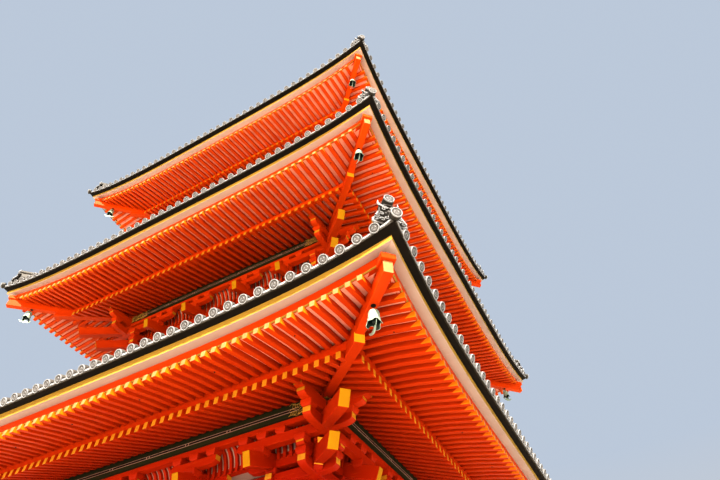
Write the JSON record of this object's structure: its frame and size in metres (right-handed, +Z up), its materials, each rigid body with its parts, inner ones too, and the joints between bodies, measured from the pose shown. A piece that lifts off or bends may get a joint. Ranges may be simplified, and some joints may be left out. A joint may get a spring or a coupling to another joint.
{
  "type": "three-storied pagoda",
  "caption": "Square timber pagoda with deep tiled eaves on stepped brackets, balconies, a stone podium with steps, wind bells that swing at the roof corners and a ringed finial.",
  "frame": {"origin": "centre of the underside of the stone podium, at ground level", "axes": "+Z up through the finial; -Y is the front face and +X the right face, each with a doorway and steps"},
  "size_m": [12.363, 12.363, 28.1806],
  "materials": {
    "stone": "dressed grey stone, dry and slightly weathered",
    "floor_boards": "worn plain boards",
    "vermilion_timber": "vermilion paint on planed timber, satin",
    "plaster": "white lime plaster, matt",
    "door_timber": "vermilion painted planks",
    "green_timber": "dark green paint with thin brown and white lines",
    "roof_tile": "fired grey clay tile, matt with a faint sheen",
    "bell_bronze": "pale verdigris on cast bronze",
    "finial_bronze": "dark verdigris on cast bronze"
  },
  "bodies": {
    "tower": {"podium": "stone", "steps_front": "stone", "steps_right": "stone", "steps_back": "stone", "steps_left": "stone", "ground_floor": "floor_boards", "frame_1": "vermilion_timber", "wall_front_1": "plaster", "wall_right_1": "plaster", "wall_back_1": "plaster", "wall_left_1": "plaster", "door_front_1": "door_timber", "door_right_1": "door_timber", "door_back_1": "door_timber", "door_left_1": "door_timber", "balcony_2": "vermilion_timber", "railing_2": "vermilion_timber", "frame_2": "vermilion_timber", "walls_2": "plaster", "balcony_3": "vermilion_timber", "railing_3": "vermilion_timber", "frame_3": "vermilion_timber", "walls_3": "plaster", "brackets_1": "vermilion_timber", "purlin_1": "green_timber", "eaves_1": "vermilion_timber", "roof_1": "roof_tile", "brackets_2": "vermilion_timber", "purlin_2": "green_timber", "eaves_2": "vermilion_timber", "roof_2": "roof_tile", "brackets_3": "vermilion_timber", "purlin_3": "green_timber", "eaves_3": "vermilion_timber", "roof_3": "roof_tile", "finial_base": "finial_bronze", "finial_rings": "finial_bronze", "finial_crown": "finial_bronze"},
    "bell_1_front_right": {"bell_1_front_right": "bell_bronze"},
    "bell_1_back_right": {"bell_1_back_right": "bell_bronze"},
    "bell_1_back_left": {"bell_1_back_left": "bell_bronze"},
    "bell_1_front_left": {"bell_1_front_left": "bell_bronze"},
    "bell_2_front_right": {"bell_2_front_right": "bell_bronze"},
    "bell_2_back_right": {"bell_2_back_right": "bell_bronze"},
    "bell_2_back_left": {"bell_2_back_left": "bell_bronze"},
    "bell_2_front_left": {"bell_2_front_left": "bell_bronze"},
    "bell_3_front_right": {"bell_3_front_right": "bell_bronze"},
    "bell_3_back_right": {"bell_3_back_right": "bell_bronze"},
    "bell_3_back_left": {"bell_3_back_left": "bell_bronze"},
    "bell_3_front_left": {"bell_3_front_left": "bell_bronze"}
  },
  "joints": [
    {"name": "bell_1_front_right_swing", "type": "hinge", "parent": "tower", "child": "bell_1_front_right", "pos_m": [5.41, -5.41, 6.052], "axis": [0.7071, 0.7071, 0], "range_deg": [-25, 25]},
    {"name": "bell_1_back_right_swing", "type": "hinge", "parent": "tower", "child": "bell_1_back_right", "pos_m": [5.41, 5.41, 6.052], "axis": [-0.7071, 0.7071, 0], "range_deg": [-25, 25]},
    {"name": "bell_1_back_left_swing", "type": "hinge", "parent": "tower", "child": "bell_1_back_left", "pos_m": [-5.41, 5.41, 6.052], "axis": [-0.7071, -0.7071, 0], "range_deg": [-25, 25]},
    {"name": "bell_1_front_left_swing", "type": "hinge", "parent": "tower", "child": "bell_1_front_left", "pos_m": [-5.41, -5.41, 6.052], "axis": [0.7071, -0.7071, 0], "range_deg": [-25, 25]},
    {"name": "bell_2_front_right_swing", "type": "hinge", "parent": "tower", "child": "bell_2_front_right", "pos_m": [5.14, -5.14, 10.932], "axis": [0.7071, 0.7071, 0], "range_deg": [-25, 25]},
    {"name": "bell_2_back_right_swing", "type": "hinge", "parent": "tower", "child": "bell_2_back_right", "pos_m": [5.14, 5.14, 10.932], "axis": [-0.7071, 0.7071, 0], "range_deg": [-25, 25]},
    {"name": "bell_2_back_left_swing", "type": "hinge", "parent": "tower", "child": "bell_2_back_left", "pos_m": [-5.14, 5.14, 10.932], "axis": [-0.7071, -0.7071, 0], "range_deg": [-25, 25]},
    {"name": "bell_2_front_left_swing", "type": "hinge", "parent": "tower", "child": "bell_2_front_left", "pos_m": [-5.14, -5.14, 10.932], "axis": [0.7071, -0.7071, 0], "range_deg": [-25, 25]},
    {"name": "bell_3_front_right_swing", "type": "hinge", "parent": "tower", "child": "bell_3_front_right", "pos_m": [4.88, -4.88, 15.852], "axis": [0.7071, 0.7071, 0], "range_deg": [-25, 25]},
    {"name": "bell_3_back_right_swing", "type": "hinge", "parent": "tower", "child": "bell_3_back_right", "pos_m": [4.88, 4.88, 15.852], "axis": [-0.7071, 0.7071, 0], "range_deg": [-25, 25]},
    {"name": "bell_3_back_left_swing", "type": "hinge", "parent": "tower", "child": "bell_3_back_left", "pos_m": [-4.88, 4.88, 15.852], "axis": [-0.7071, -0.7071, 0], "range_deg": [-25, 25]},
    {"name": "bell_3_front_left_swing", "type": "hinge", "parent": "tower", "child": "bell_3_front_left", "pos_m": [-4.88, -4.88, 15.852], "axis": [0.7071, -0.7071, 0], "range_deg": [-25, 25]}
  ]
}
